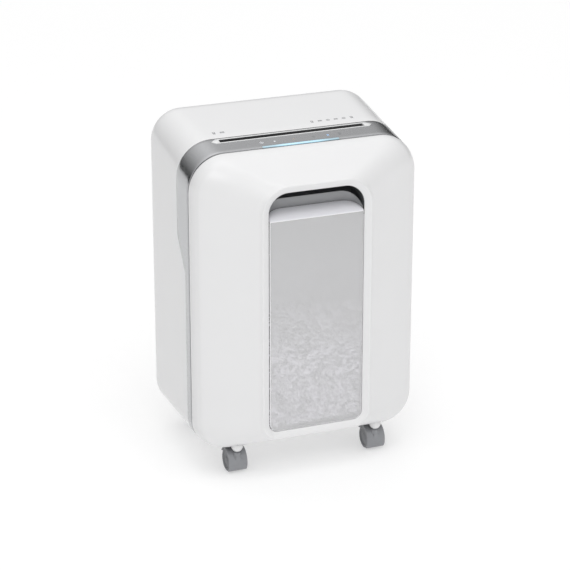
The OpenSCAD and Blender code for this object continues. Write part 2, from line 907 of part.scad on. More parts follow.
module front_shell() {
    color(white) difference() {
        front_form(0);
        translate([0, 0.5, 0]) front_form(wall);
        block([-half_w, half_w], [seam_y - 0.5, seam_y + 10], [0, body_h + 10]);
        along_y(front_y - 2, front_y + 40) opening_outline(0);
        hull() {
            along_y(front_y - 1, front_y - 0.9) opening_outline(frame_w - 2);
            along_y(front_y + 4, front_y + 4.1) opening_outline(0);
        }
        for (side = [-1, 1]) {
            x = side * caster_x;
            bar_z(0, low_z + 30, notch_half, x, caster_front_y);
            block([x - notch_half, x + notch_half], [caster_front_y, seam_y + 1], [0, low_z + 30]);
        }
    }
}

module window_panel() {
    half = open_half - window_gap;
    z0 = open_low_z + window_gap;
    r = open_r_low - window_gap;
    color("#cfd0d2") along_y(window_y, window_y + window_t) {
        polygon([
            [r - half, z0], [half - r, z0], [half, z0 + r], [half, window_top_z], [-half, window_top_z],
            [-half, z0 + r]
        ]);
        for (side = [-1, 1]) {
            translate([side * (half - r), z0 + r]) circle(r);
        }
    }
}

// Cupped lip and back wall of the finger recess
module handle_scoop() {
    half = open_half + 3;
    back = scoop_back_y + scoop_t;
    color("#dcdce2") intersection() {
        along_x(-half, half) polygon([
            [window_y, window_top_z], [scoop_back_y, scoop_lip_z], [scoop_back_y, scoop_top_z],
            [back, scoop_top_z], [back, scoop_lip_z - scoop_t],
            [window_y + window_t, window_top_z - scoop_t], [window_y + window_t, window_top_z]
        ]);
        along_y(front_y, seam_y) round_rect(open_half - 1, window_top_z - 40, scoop_top_z, 1, 26);
    }
}

// Panel that closes the back of the front shell above the bin
module back_cover() {
    color(dark) difference() {
        along_y(cover_y, cover_y + cover_t) intersection() {
            round_rect(half_w - wall - 1.5, low_z + wall + 1, front_top_z - wall - 1.5, 40, corner_r - wall);
            translate([-half_w, cover_screw_z - 9]) square([body_w, body_h]);
        }
        for (x = cover_screw_x) {
            bar_y(cover_y - 1, cover_y + cover_t + 1, cover_screw_r, x, cover_screw_z);
        }
    }
}

// Plan outline of the tub, drawn in by inset: full width behind, narrowing to the window
module tub_plan(inset) {
    half = tub_half - inset;
    nose = open_half + 2 - inset;
    polygon([
        [-half, tub_rear_y - inset], [half, tub_rear_y - inset], [half, seam_y - 2],
        [nose, window_y + window_t + (inset > 0 ? -1 : 0)],
        [-nose, window_y + window_t + (inset > 0 ? -1 : 0)], [-half, seam_y - 2]
    ]);
}

module tub_form(inset) {
    r = corner_r - 10 - inset;
    nose_y = window_y + window_t - 1;
    intersection() {
        along_z(tub_z + inset, tub_top_z + (inset > 0 ? 1 : 0)) tub_plan(inset);
        along_x(-half_w, half_w) polygon([
            [nose_y, open_low_z + 3 + inset], [seam_y - 20, tub_z + inset], [rear_y, tub_z + inset],
            [rear_y, tub_top_z + 2], [nose_y, tub_top_z + 2]
        ]);
        along_y(front_y, rear_y) round_rect(tub_half - inset, tub_z + inset, tub_top_z + 60, r, 1);
    }
}

module bin_tub() {
    color("#d4d5d8") {
        difference() {
            tub_form(0);
            tub_form(tub_wall);
        }
        for (side = [-1, 1]) {
            x0 = side < 0 ? -rim_half : tub_half - 1;
            x1 = side < 0 ? 1 - tub_half : rim_half;
            block([x0, x1], [band_y, tub_rear_y], [tub_top_z - rim_t, tub_top_z]);
        }
    }
}

// Heap of shredded paper in the bottom of the tub
module paper_shreds() {
    heap_top = tub_z + heap_h;
    color("#cdccd2") intersection() {
        tub_form(tub_wall + 1);
        along_x(-half_w, half_w) polygon([
            [window_y + window_t + 1, tub_z], [rear_y, tub_z], [rear_y, heap_top - 30],
            [slot_y, heap_top + 6], [window_y + window_t + 1, heap_top - 8]
        ]);
    }
}

module drawer_screws() {
    head_y = cover_y + cover_t;
    color(steel) for (x = cover_screw_x) {
        bar_y(cover_y - 3, head_y, cover_screw_r, x, cover_screw_z);
        bar_y(head_y, head_y + 1.8, 3.5, x, cover_screw_z);
    }
}

// ---------- casters ----------

// Hood, web and stem; origin on the swivel axis at floor level, wheels behind it
module caster_body() {
    hood_half = web_w / 2 + wheel_w + hood_gap;
    half = web_w / 2;
    rear = trail + hood_r + 1;
    low = wheel_r + 2;
    color(grey) {
        difference() {
            union() {
                intersection() {
                    bar_x(-hood_half, hood_half, hood_r, trail, wheel_r);
                    along_x(-hood_half, hood_half) polygon([
                        [-rear, 4], [trail - 11, 4], [trail - 6, low], [rear, low + 10], [rear, low + hood_r],
                        [-rear, low + hood_r]
                    ]);
                }
                bar_z(low, boss_low_z - 2.5, neck_r, 0, 0);
            }
            for (side = [-1, 1]) {
                x0 = side < 0 ? -hood_half - 1 : half;
                x1 = side < 0 ? -half : hood_half + 1;
                bar_x(x0, x1, wheel_r + hood_gap, trail, wheel_r);
            }
        }
        difference() {
            union() {
                bar_x(-half, half, wheel_r - 2, trail, wheel_r);
                along_x(-half, half) polygon([
                    [-6, wheel_r + 12], [-5, low], [trail, wheel_r], [trail + 7, wheel_r + 4],
                    [trail + 2, wheel_r + hood_r - 1], [2, wheel_r + hood_r - 7]
                ]);
            }
            bar_x(-web_w, web_w, axle_r, trail, wheel_r);
        }
        bar_z(wheel_r + 14, tray_z + tray_t - 1.5, stem_r, 0, 0);
    }
}

// Both wheels of one caster and the axle that they are pressed on
module caster_wheels() {
    color("#7f8186") {
        for (side = [-1, 1]) {
            x0 = side < 0 ? -web_w / 2 - wheel_w : web_w / 2 + 0.3;
            difference() {
                bar_x(x0, x0 + wheel_w - 0.3, wheel_r, trail, wheel_r);
                bar_x(side < 0 ? x0 - 1 : x0 + wheel_w - 2.3, side < 0 ? x0 + 2 : x0 + wheel_w + 1,
                      wheel_r - 4, trail, wheel_r);
            }
        }
        bar_x(-web_w / 2 - 4, web_w / 2 + 4, axle_r - run_fit, trail, wheel_r);
    }
}

module front_left_caster() {
    translate([-caster_x, caster_front_y, 0]) caster_body();
}
module front_left_wheels() {
    translate([-caster_x, caster_front_y, 0]) caster_wheels();
}
module front_right_caster() {
    translate([caster_x, caster_front_y, 0]) caster_body();
}
module front_right_wheels() {
    translate([caster_x, caster_front_y, 0]) caster_wheels();
}
module rear_left_caster() {
    translate([-caster_x, caster_rear_y, 0]) caster_body();
}
module rear_left_wheels() {
    translate([-caster_x, caster_rear_y, 0]) caster_wheels();
}
module rear_right_caster() {
    translate([caster_x, caster_rear_y, 0]) caster_body();
}
module rear_right_wheels() {
    translate([caster_x, caster_rear_y, 0]) caster_wheels();
}

rear_shell();
top_band();
entry_lip();
paper_throat();
light_bar();
touch_board();
base_tray();
caster_sockets();
cutter_deck();
left_side_plate();
right_side_plate();
tie_rods();
shaft_bushes();
front_stripper();
rear_stripper();
gear_pins();
gearbox_cover();
motor_case();
motor_end_cap();
motor_bushes();
power_board();
switch_bezel();
cord_gland();
left_rail();
right_rail();
sensor_bracket();
interlock_switch();
rear_screws();
deck_screws();
front_cutter_shaft();
front_cutter_discs();
front_sync_gear();
rear_cutter_shaft();
rear_cutter_discs();
rear_sync_gear();
drive_gear();
motor_rotor();
motor_pinion();
cooling_fan();
first_reduction_gear();
second_reduction_gear();
rocker_switch();
sensor_lever();
front_shell();
window_panel();
handle_scoop();
back_cover();
bin_tub();
paper_shreds();
drawer_screws();
interlock_magnet();
front_left_caster();
front_left_wheels();
front_right_caster();
front_right_wheels();
rear_left_caster();
rear_left_wheels();
rear_right_caster();
rear_right_wheels();
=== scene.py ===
import json
import math
import random

import bmesh
import bpy
from mathutils import Matrix, Vector


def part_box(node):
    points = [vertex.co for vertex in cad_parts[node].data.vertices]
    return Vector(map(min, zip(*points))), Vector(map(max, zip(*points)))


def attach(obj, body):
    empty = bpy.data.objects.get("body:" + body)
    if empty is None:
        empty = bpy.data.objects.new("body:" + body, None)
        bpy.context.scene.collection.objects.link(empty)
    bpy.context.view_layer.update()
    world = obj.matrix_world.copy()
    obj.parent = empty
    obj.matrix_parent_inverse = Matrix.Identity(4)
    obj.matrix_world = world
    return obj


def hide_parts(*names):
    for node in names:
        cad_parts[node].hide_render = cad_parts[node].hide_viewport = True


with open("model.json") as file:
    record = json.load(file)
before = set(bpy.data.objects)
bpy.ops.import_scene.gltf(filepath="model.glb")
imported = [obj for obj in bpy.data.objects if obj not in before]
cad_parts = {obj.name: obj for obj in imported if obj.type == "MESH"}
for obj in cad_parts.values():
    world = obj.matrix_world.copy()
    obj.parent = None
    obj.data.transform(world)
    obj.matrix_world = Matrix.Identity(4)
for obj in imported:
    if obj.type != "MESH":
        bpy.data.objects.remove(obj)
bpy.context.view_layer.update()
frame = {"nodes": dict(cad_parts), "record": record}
MM = 0.001
scene = bpy.context.scene

# ---------------------------------------------------------------- sizes read from the CAD, in mm


def box_mm(node):
    lo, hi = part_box(node)
    return lo / MM, hi / MM


SHELL_LO, SHELL_HI = box_mm("front_shell")
REAR_HI = box_mm("rear_shell")[1]
BAND_LO, BAND_HI = box_mm("top_band")
WINDOW_LO, WINDOW_HI = box_mm("window_panel")
LIGHT_LO, LIGHT_HI = box_mm("light_bar")
SCOOP_LO = box_mm("handle_scoop")[0]
LIP_HI = box_mm("entry_lip")[1]
HALF = SHELL_HI.x
LOW = SHELL_LO.z
FRONT = SHELL_LO.y
SEAM = SHELL_HI.y + 0.5
FRONT_TOP = SHELL_HI.z
BAND_FRONT = BAND_LO.y
BAND_BACK = BAND_HI.y
REAR = REAR_HI.y
OPEN_HALF = WINDOW_HI.x + 1.2
OPEN_LOW = WINDOW_LO.z - 1.2
WINDOW_TOP = WINDOW_HI.z
OPEN_TOP = WINDOW_TOP + 42
CORNER = 56
LOW_CORNER = 45
REAR_ROUND = 30
TOP_SLOPE = 23 / (REAR - SEAM)
BAND_NARROW = 16
BAND_STEP = 369
BAND_TAPER = 44
SLOT_Y = SEAM + 40
SLOT_REACH = 115.4
SLOT_BAND = 5.3
WALL = 3.0
FRAME_W = 11
DRAWER_GAP = 0.5
OPENING_R_LOW = 14
OPENING_R_TOP = 31
CASTER_BACK = 42
NOTCH_R = 13
VENT_COUNT = 12
VENT_STEP = 10
VENT_FIRST_X = -55
VENT_HALF = 24
VENT_R = 1.6
VENT_DROP = 7
GLAND_R = 7.2
BEZEL_RIM = 2.8
LIP_BACK = 8.5
LIP_FRONT = 6
FIT = 0.15
SHRED_SEED = 7
FRONT_SHREDS = 5200
TOP_SHREDS = 5200
TUB_SIDE = 13


def top_at(y):
    return FRONT_TOP + (y - SEAM) * TOP_SLOPE


# ---------------------------------------------------------------- materials


def node_of(tree, kind, **inputs):
    node = tree.nodes.new(kind)
    for key, value in inputs.items():
        node.inputs[key.replace("_", " ")].default_value = value
    return node


def make_material(name, color, rough=0.4, metallic=0.0, vary=0.04, vary_scale=18.0, grain=900.0,
                  bump=0.06, rough_vary=0.06, coat=0.0, coat_rough=0.1, ior=1.46,
                  alpha=1.0, emission=None, strength=0.0, streak=None, specular=0.5, tint=None):
    """Surface with slow colour drift, fine grain in bump and uneven roughness."""
    mat = bpy.data.materials.new(name)
    mat.use_nodes = True
    tree = mat.node_tree
    bsdf = tree.nodes["Principled BSDF"]
    link = tree.links.new
    coord = tree.nodes.new("ShaderNodeTexCoord")
    mapping = tree.nodes.new("ShaderNodeMapping")
    mapping.inputs["Scale"].default_value = streak or (1, 1, 1)
    link(coord.outputs["Object"], mapping.inputs["Vector"])
    slow = node_of(tree, "ShaderNodeTexNoise", Scale=vary_scale, Detail=4.0, Roughness=0.55)
    fine = node_of(tree, "ShaderNodeTexNoise", Scale=grain, Detail=3.0, Roughness=0.6)
    link(coord.outputs["Object"], slow.inputs["Vector"])
    link(mapping.outputs["Vector"], fine.inputs["Vector"])
    mix = tree.nodes.new("ShaderNodeMix")
    mix.data_type = "RGBA"
    dark = [max(0.0, c * (1 - vary)) for c in color]
    light = [min(1.0, c * (1 + vary)) for c in (tint or color)]
    mix.inputs["A"].default_value = (*dark, 1)
    mix.inputs["B"].default_value = (*light, 1)
    link(slow.outputs["Fac"], mix.inputs["Factor"])
    link(mix.outputs["Result"], bsdf.inputs["Base Color"])
    span = tree.nodes.new("ShaderNodeMapRange")
    span.inputs["To Min"].default_value = max(0.02, rough - rough_vary)
    span.inputs["To Max"].default_value = min(1.0, rough + rough_vary)
    link(fine.outputs["Fac"], span.inputs["Value"])
    link(span.outputs["Result"], bsdf.inputs["Roughness"])
    bumper = tree.nodes.new("ShaderNodeBump")
    bumper.inputs["Strength"].default_value = bump
    bumper.inputs["Distance"].default_value = 0.0004
    link(fine.outputs["Fac"], bumper.inputs["Height"])
    link(bumper.outputs["Normal"], bsdf.inputs["Normal"])
    bsdf.inputs["Metallic"].default_value = metallic
    bsdf.inputs["IOR"].default_value = ior
    bsdf.inputs["Specular IOR Level"].default_value = specular
    bsdf.inputs["Coat Weight"].default_value = coat
    bsdf.inputs["Coat Roughness"].default_value = coat_rough
    bsdf.inputs["Alpha"].default_value = alpha
    if emission:
        bsdf.inputs["Emission Color"].default_value = (*emission, 1)
        bsdf.inputs["Emission Strength"].default_value = strength
    return mat


BRUSH = (1, 1, 40)
MATS = {
    "white_shell": make_material("satin_white", (0.79, 0.79, 0.795), 0.3, vary=0.012, grain=1400,
                                 bump=0.03, coat=0.25, coat_rough=0.16),
    "silver_band": make_material("satin_silver", (0.46, 0.465, 0.475), 0.24, 0.95, vary=0.05,
                                 vary_scale=9, grain=2600, bump=0.05, streak=(1, 1, 0.2)),
    "entry_grey": make_material("entry_grey", (0.78, 0.785, 0.79), 0.28, 0.1, vary=0.03, grain=1600),
    "dark_plastic": make_material("dark_moulding", (0.055, 0.057, 0.062), 0.5, vary=0.15, bump=0.15),
    "black_plastic": make_material("black_moulding", (0.012, 0.012, 0.014), 0.42, vary=0.2, bump=0.12),
    "light_guide": make_material("light_guide", (0.6, 0.85, 0.95), 0.25, vary=0.1, vary_scale=30,
                                 emission=(0.35, 0.78, 1.0), strength=1.3),
    "board_green": make_material("solder_mask", (0.02, 0.12, 0.06), 0.4, vary=0.25, vary_scale=90),
    "plate_steel": make_material("zinc_plate", (0.6, 0.61, 0.63), 0.34, 1.0, vary=0.08, vary_scale=60,
                                 grain=700, bump=0.08, rough_vary=0.1),
    "cutter_steel": make_material("hardened_steel", (0.3, 0.31, 0.33), 0.32, 1.0, vary=0.14,
                                  vary_scale=70, bump=0.1, rough_vary=0.12),
    "bush_brass": make_material("sintered_brass", (0.55, 0.41, 0.16), 0.38, 1.0, vary=0.1, grain=1500),
    "gear_steel": make_material("machined_steel", (0.4, 0.41, 0.43), 0.3, 1.0, vary=0.1, bump=0.1),
    "gear_nylon": make_material("natural_nylon", (0.72, 0.69, 0.6), 0.45, vary=0.05, bump=0.08),
    "motor_steel": make_material("motor_paint", (0.08, 0.085, 0.09), 0.4, 0.2, vary=0.12, bump=0.1),
    "cap_metal": make_material("cast_cap", (0.42, 0.43, 0.45), 0.45, 0.9, vary=0.1, bump=0.25),
    "rotor_copper": make_material("varnished_copper", (0.32, 0.13, 0.05), 0.35, 0.7, vary=0.2,
                                  streak=BRUSH, bump=0.3),
    "signal_red": make_material("red_moulding", (0.45, 0.03, 0.02), 0.4, vary=0.08),
    "magnet_grey": make_material("plated_magnet", (0.25, 0.26, 0.28), 0.25, 0.9, vary=0.06),
    "window_smoke": make_material("window_smoke", (0.86, 0.86, 0.87), 0.2, vary=0.012, grain=500,
                                  bump=0.015, rough_vary=0.03, alpha=0.47, ior=1.4),
    "scoop_lilac": make_material("scoop_grey", (0.88, 0.88, 0.92), 0.3, vary=0.02, grain=1200,
                                 bump=0.04, coat=0.2),
    "tub_grey": make_material("tub_grey", (0.78, 0.785, 0.8), 0.45, vary=0.03, grain=700, bump=0.1),
    # The shred paper carries a faint painted glow through its emission, brightening the heap though it is
    # no lamp.
    "shred_paper": make_material("shred_paper", (0.8, 0.78, 0.84), 0.85, vary=0.1, vary_scale=170,
                                 grain=1500, bump=0.3, emission=(0.95, 0.93, 1.0), strength=0.19),
    "caster_grey": make_material("caster_grey", (0.27, 0.275, 0.29), 0.42, vary=0.05, grain=1000,
                                 bump=0.1),
    "wheel_grey": make_material("wheel_grey", (0.23, 0.235, 0.245), 0.55, vary=0.07, grain=800,
                                bump=0.18),
}
# Painted shade: this near-black stands in for the shade inside the finger recess, on its liner and back
# wall.
RECESS_PAINTED_SHADE = make_material("recess_liner_painted_shade", (0.06, 0.062, 0.066), 0.45, vary=0.1, bump=0.1)
# Painted shade: a darker grey copy of the scoop's plastic, standing in for the shade on the scoop wall
# under the recess ceiling.
SCOOP_WALL_PAINTED_SHADE = make_material("recess_back_painted_shade", (0.34, 0.345, 0.355), 0.35, 0.2, vary=0.05, bump=0.06)
# Painted shade: the mid and dark shred tones stand in for the shade between and under the strips deep in
# the heap.
SHRED_MID_PAINTED_SHADE = make_material("shred_mid_painted_shade", (0.4, 0.37, 0.44), 0.85, vary=0.25, vary_scale=170, bump=0.3)
SHRED_DARK_PAINTED_SHADE = make_material("shred_dark_painted_shade", (0.06, 0.055, 0.07), 0.85, vary=0.3, vary_scale=170, bump=0.3)
# Painted highlight: the pale opaque rim colour stands in for the white highlight along the window's edges.
WINDOW_RIM_HIGHLIGHT = make_material("window_edge_painted_highlight", (0.93, 0.93, 0.94), 0.25, vary=0.02, vary_scale=60)
MARK = make_material("printed_mark", (0.2, 0.205, 0.215), 0.5, vary=0.1, vary_scale=400)
MARK_LIT = make_material("lit_mark", (0.75, 0.77, 0.8), 0.4, vary=0.05, vary_scale=400,
                         emission=(0.9, 0.95, 1.0), strength=0.25)
MARK_BLUE = make_material("lit_mark_blue", (0.3, 0.5, 0.8), 0.4, vary=0.08, vary_scale=400,
                          emission=(0.3, 0.6, 1.0), strength=0.5)
MARK_AMBER = make_material("lit_mark_amber", (0.5, 0.42, 0.36), 0.4, vary=0.08, vary_scale=400)

LIGHT_STRIP = make_material("light_strip", (0.5, 0.7, 0.8), 0.3, vary=0.05, vary_scale=40,
                            emission=(0.42, 0.76, 0.95), strength=0.55)


def fade_ends(mat, full, reach, strength):
    """Light that fades from its full strength towards both ends along X, in metres."""
    tree = mat.node_tree
    split = tree.nodes.new("ShaderNodeSeparateXYZ")
    size = tree.nodes.new("ShaderNodeMath")
    size.operation = "ABSOLUTE"
    span = tree.nodes.new("ShaderNodeMapRange")
    span.interpolation_type = "SMOOTHSTEP"
    span.inputs["From Min"].default_value = reach
    span.inputs["From Max"].default_value = full
    span.inputs["To Min"].default_value = 0
    span.inputs["To Max"].default_value = strength
    tree.links.new(tree.nodes.new("ShaderNodeTexCoord").outputs["Object"], split.inputs["Vector"])
    tree.links.new(split.outputs["X"], size.inputs[0])
    tree.links.new(size.outputs["Value"], span.inputs["Value"])
    tree.links.new(span.outputs["Result"], tree.nodes["Principled BSDF"].inputs["Emission Strength"])


fade_ends(LIGHT_STRIP, 0.024, 0.05, 0.3)

for part in frame["record"]["subparts"]:
    cad = frame["nodes"][part["node"]]
    cad.data.materials.clear()
    cad.data.materials.append(MATS[part["material_slot"]])

# The throat is set to near-black: its dark plastic deepened as painted shade down the slot.
frame["nodes"]["paper_throat"].data.materials[0] = MATS["black_plastic"]

BODY_OF = {n: b for b, ns in frame["record"]["behaviour"]["bodies"].items() for n in ns}
SLOT_OF = {p["node"]: p["material_slot"] for p in frame["record"]["subparts"]}

# ---------------------------------------------------------------- mesh helpers


def new_object(name, verts, faces, mat, smooth_deg=35):
    mesh = bpy.data.meshes.new(name)
    mesh.from_pydata([Vector(v) * MM for v in verts], [], faces)
    mesh.validate()
    obj = bpy.data.objects.new(name, mesh)
    scene.collection.objects.link(obj)
    mesh.materials.append(mat)
    tidy_normals(obj)
    shade(obj, smooth_deg)
    return obj


def tidy_normals(obj):
    bm = bmesh.new()
    bm.from_mesh(obj.data)
    bmesh.ops.recalc_face_normals(bm, faces=bm.faces)
    bm.to_mesh(obj.data)
    bm.free()


def shade(obj, degrees):
    obj.data.shade_smooth()
    obj.data.set_sharp_from_angle(angle=math.radians(degrees))


def apply_all(obj):
    """Turns an object's modifiers into plain mesh."""
    deps = bpy.context.evaluated_depsgraph_get()
    mesh = bpy.data.meshes.new_from_object(obj.evaluated_get(deps))
    obj.modifiers.clear()
    obj.data = mesh


def cut(obj, cutter):
    mod = obj.modifiers.new("cut", "BOOLEAN")
    mod.operation = "DIFFERENCE"
    mod.solver = "EXACT"
    mod.object = cutter
    apply_all(obj)
    bpy.data.objects.remove(cutter)


def settle(obj, body, slot, *nodes):
    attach(obj, body)
    if nodes:
        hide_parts(*nodes)
    return obj


def soften(node, width, segments=2, dissolve=2.0):
    """Copy of a CAD piece with its sharp edges rounded by width mm."""
    source = frame["nodes"][node]
    obj = bpy.data.objects.new(node + "_soft", source.data.copy())
    scene.collection.objects.link(obj)
    bm = bmesh.new()
    bm.from_mesh(obj.data)
    bmesh.ops.remove_doubles(bm, verts=bm.verts, dist=2e-6)
    bmesh.ops.dissolve_limit(bm, angle_limit=math.radians(dissolve), verts=bm.verts, edges=bm.edges)
    bm.to_mesh(obj.data)
    bm.free()
    bevel = obj.modifiers.new("bevel", "BEVEL")
    bevel.width = width * MM
    bevel.segments = segments
    bevel.limit_method = "ANGLE"
    bevel.angle_limit = math.radians(32)
    bevel.use_clamp_overlap = True
    apply_all(obj)
    shade(obj, 38)
    return settle(obj, BODY_OF[node], SLOT_OF[node], node)


def outline(half, z0, z1, r_low, r_top, across=26, up=60, corner=16):
    """Rounded rectangle in X and Z, always with the same count of points."""
    pts = []

    def line(a, b, n):
        for i in range(n):
            t = i / n
            pts.append((a[0] + (b[0] - a[0]) * t, a[1] + (b[1] - a[1]) * t))

    def arc(cx, cz, r, start):
        for i in range(corner):
            a = math.radians(start + 90 * i / corner)
            pts.append((cx + r * math.cos(a), cz + r * math.sin(a)))

    line((r_low - half, z0), (half - r_low, z0), across)
    arc(half - r_low, z0 + r_low, r_low, -90)
    line((half, z0 + r_low), (half, z1 - r_top), up)
    arc(half - r_top, z1 - r_top, r_top, 0)
    line((half - r_top, z1), (r_top - half, z1), across)
    arc(r_top - half, z1 - r_top, r_top, 90)
    line((-half, z1 - r_top), (-half, z0 + r_low), up)
    arc(r_low - half, z0 + r_low, r_low, 180)
    return pts


def loft(name, rows, mat, closed=False, caps=False, smooth_deg=35):
    """Skin over rows of points; closed joins the last row to the first."""
    n = len(rows[0])
    verts = [p for row in rows for p in row]
    faces = []
    count = len(rows) if closed else len(rows) - 1
    for i in range(count):
        a, b = i * n, (i + 1) % len(rows) * n
        for j in range(n):
            k = (j + 1) % n
            faces.append((a + j, a + k, b + k, b + j))
    if caps:
        faces.append(tuple(range(n)))
        last = (len(rows) - 1) * n
        faces.append(tuple(last + j for j in reversed(range(n))))
    return new_object(name, verts, faces, mat, smooth_deg)


def prism(name, pts, axis, a, b):
    """Flat outline drawn out along one axis, for cutting."""
    def place(u, v, w):
        return {"x": (w, u, v), "y": (u, w, v), "z": (u, v, w)}[axis]

    rows = [[place(u, v, a) for u, v in pts], [place(u, v, b) for u, v in pts]]
    return loft(name, rows, MATS["black_plastic"], caps=True)


def rect(u0, u1, v0, v1):
    return [(u0, v0), (u1, v0), (u1, v1), (u0, v1)]


def circle(cu, cv, r, n=32):
    return [(cu + r * math.cos(2 * math.pi * i / n), cv + r * math.sin(2 * math.pi * i / n))
            for i in range(n)]


def stadium(cu, v0, v1, r, n=8):
    low = [(cu + r * math.cos(a), v0 + r * math.sin(a))
           for a in (math.pi + math.pi * i / n for i in range(n + 1))]
    high = [(cu + r * math.cos(a), v1 + r * math.sin(a))
            for a in (math.pi * i / n for i in range(n + 1))]
    return low + high


# ---------------------------------------------------------------- housing: white shell and silver band


def housing_row(ys, inset):
    """One row round the housing; ys gives the depth of each point."""
    n = len(ys)
    row = []
    cache = {}
    for j, y in enumerate(ys):
        key = round(y, 3)
        if key not in cache:
            t = max(0.0, min(1.0, (y - (REAR - REAR_ROUND)) / REAR_ROUND))
            draw = REAR_ROUND * (1 - math.sqrt(max(0.0, 1 - t * t))) * 0.7
            span = max(0.0, min(1.0, (y - SEAM) / (REAR - REAR_ROUND - SEAM)))
            trim = draw / 2 + inset
            cache[key] = outline(HALF - draw - inset, LOW + draw + inset, top_at(y) - draw - inset,
                                 LOW_CORNER - 3 * span - trim, CORNER - 8 * span - trim)
        x, z = cache[key][j % n]
        row.append((x, y, z))
    return row


def band_back_at(z):
    """Depth of the band's back edge, which steps forward on the lower sides."""
    t = max(0.0, min(1.0, (z - (BAND_STEP - BAND_TAPER)) / BAND_TAPER))
    return BAND_FRONT + BAND_NARROW + (BAND_BACK - BAND_FRONT - BAND_NARROW) * t


RING = outline(HALF, LOW, top_at(-40), LOW_CORNER, CORNER)
BACK_YS = [band_back_at(z) for x, z in RING]


def band_rows():
    """Front edge, face and back edge of the silver band, and its inner skin."""
    rows = []
    for dy, inset in ((0.0, 1.0), (0.3, 0.3), (1.0, 0.0)):
        rows.append(housing_row([BAND_FRONT + dy] * len(RING), inset))
    for t in (0.12, 0.25, 0.4, 0.55, 0.7, 0.85):
        rows.append(housing_row([BAND_FRONT + 1 + (b - 1.6 - BAND_FRONT) * t for b in BACK_YS], 0))
    for dy, inset in ((-0.6, 0.0), (-0.2, 0.15), (0.0, 0.6), (0.0, 3.0)):
        rows.append(housing_row([b + dy - 0.1 for b in BACK_YS], inset))
    rows.append(housing_row([BAND_FRONT] * len(RING), WALL))
    return rows


def shell_rows():
    """Outer rows from the band to the rear wall, then the inner rows back again."""
    rows = []
    for dy, inset in ((0.1, 3.0), (0.1, 1.9), (0.3, 1.1), (0.8, 0.5), (1.5, 0.13), (2.4, 0.0)):
        rows.append(housing_row([b + dy for b in BACK_YS], inset))
    flat_end = REAR - REAR_ROUND
    for t in (0.15, 0.35, 0.55, 0.75, 0.92, 1.0):
        rows.append(housing_row([b + 2.4 + (flat_end - b - 2.4) * t for b in BACK_YS], 0))
    for i in range(1, 15):
        turn = math.radians(90 * i / 14)
        rows.append(housing_row([flat_end + REAR_ROUND * math.sin(turn)] * len(RING), 0))
    outer_last = len(rows) - 1
    rows.append(housing_row([REAR - WALL] * len(RING), 4.0))
    for t in (0.5, 0.0):
        rows.append(housing_row([b + 0.1 + (flat_end - b) * t for b in BACK_YS], WALL))
    return rows, outer_last


def build_rear_shell():
    """White housing with its vents and the holes for the switch and the gland."""
    rows, outer_last = shell_rows()
    n = len(RING)
    verts = [p for row in rows for p in row]
    faces = []
    for i in range(len(rows)):
        if i == outer_last:
            continue
        a, b = i * n, (i + 1) % len(rows) * n
        for j in range(n):
            k = (j + 1) % n
            faces.append((a + j, a + k, b + k, b + j))
    faces.append(tuple(outer_last * n + j for j in range(n)))
    faces.append(tuple((outer_last + 1) * n + j for j in reversed(range(n))))
    shell = new_object("rear_shell_skin", verts, faces, MATS["white_shell"], 30)
    lo, hi = box_mm("motor_case")
    mid_z = (lo.z + hi.z) / 2 - VENT_DROP
    for i in range(VENT_COUNT):
        slit = stadium(VENT_FIRST_X + i * VENT_STEP, mid_z - VENT_HALF, mid_z + VENT_HALF, VENT_R)
        cut(shell, prism("vent", slit, "y", REAR - 8, REAR + 2))
    lo, hi = box_mm("switch_bezel")
    hole = rect(lo.x + BEZEL_RIM, hi.x - BEZEL_RIM, lo.z + BEZEL_RIM, hi.z - BEZEL_RIM)
    cut(shell, prism("hole", hole, "y", REAR - 9, REAR + 2))
    lo, hi = box_mm("cord_gland")
    mid = (lo + hi) / 2
    cut(shell, prism("hole", circle(mid.x, mid.z, GLAND_R), "y", REAR - 9, REAR + 2))
    shade(shell, 30)
    return settle(shell, "housing", "white_shell", "rear_shell")


def on_top_prism(name, pts, y_mid, depth_low, depth_high):
    """Outline in X and depth, standing square to the sloping top."""
    obj = prism(name, pts, "z", depth_low, depth_high)
    turn = Matrix.Rotation(math.atan(TOP_SLOPE), 4, "X")
    obj.data.transform(Matrix.Translation(Vector((0, y_mid, top_at(y_mid))) * MM) @ turn)
    return obj


def lip_pts(grow):
    """Outline of the entry lip with its bevelled ends, grown by a gap."""
    half, back, front = LIP_HI.x + grow, LIP_BACK + grow, -LIP_FRONT - grow
    left = [(back - half, back), (-half, 0), (LIP_FRONT - half, front)]
    right = [(half - LIP_FRONT, front), (half, 0), (half - back, back)]
    return left[2:] + right + left[:2]


def build_band():
    """Silver band with the seats of the entry lip and the light bar."""
    band = loft("top_band_skin", band_rows(), MATS["silver_band"], closed=True, smooth_deg=30)
    cut(band, on_top_prism("hole", lip_pts(FIT), SLOT_Y, -8, 8))
    seat = rect(LIGHT_LO.x - FIT, LIGHT_HI.x + FIT, -4, 5 + FIT)
    cut(band, on_top_prism("hole", seat, BAND_FRONT, -1.4, 6))
    shade(band, 30)
    return settle(band, "housing", "silver_band", "top_band")


# ---------------------------------------------------------------- front shell


def ease_rows(keys, steps):
    """Smooth rows through keys; each key is a tuple of numbers."""
    out = []
    for i in range(len(keys) - 1):
        p0 = keys[max(i - 1, 0)]
        p1, p2 = keys[i], keys[i + 1]
        p3 = keys[min(i + 2, len(keys) - 1)]
        for s in range(steps):
            t = s / steps
            out.append(tuple(
                0.5 * (2 * b + (c - a) * t + (2 * a - 5 * b + 4 * c - d) * t * t
                       + (3 * b - a - 3 * c + d) * t ** 3)
                for a, b, c, d in zip(p0, p1, p2, p3)))
    out.append(keys[-1])
    return out


def shell_ring(y, half, z0, z1, r_low, r_top):
    return [(x, y, z) for x, z in outline(half, z0, z1, r_low, r_top)]


FRAME_OUT = OPEN_HALF + FRAME_W


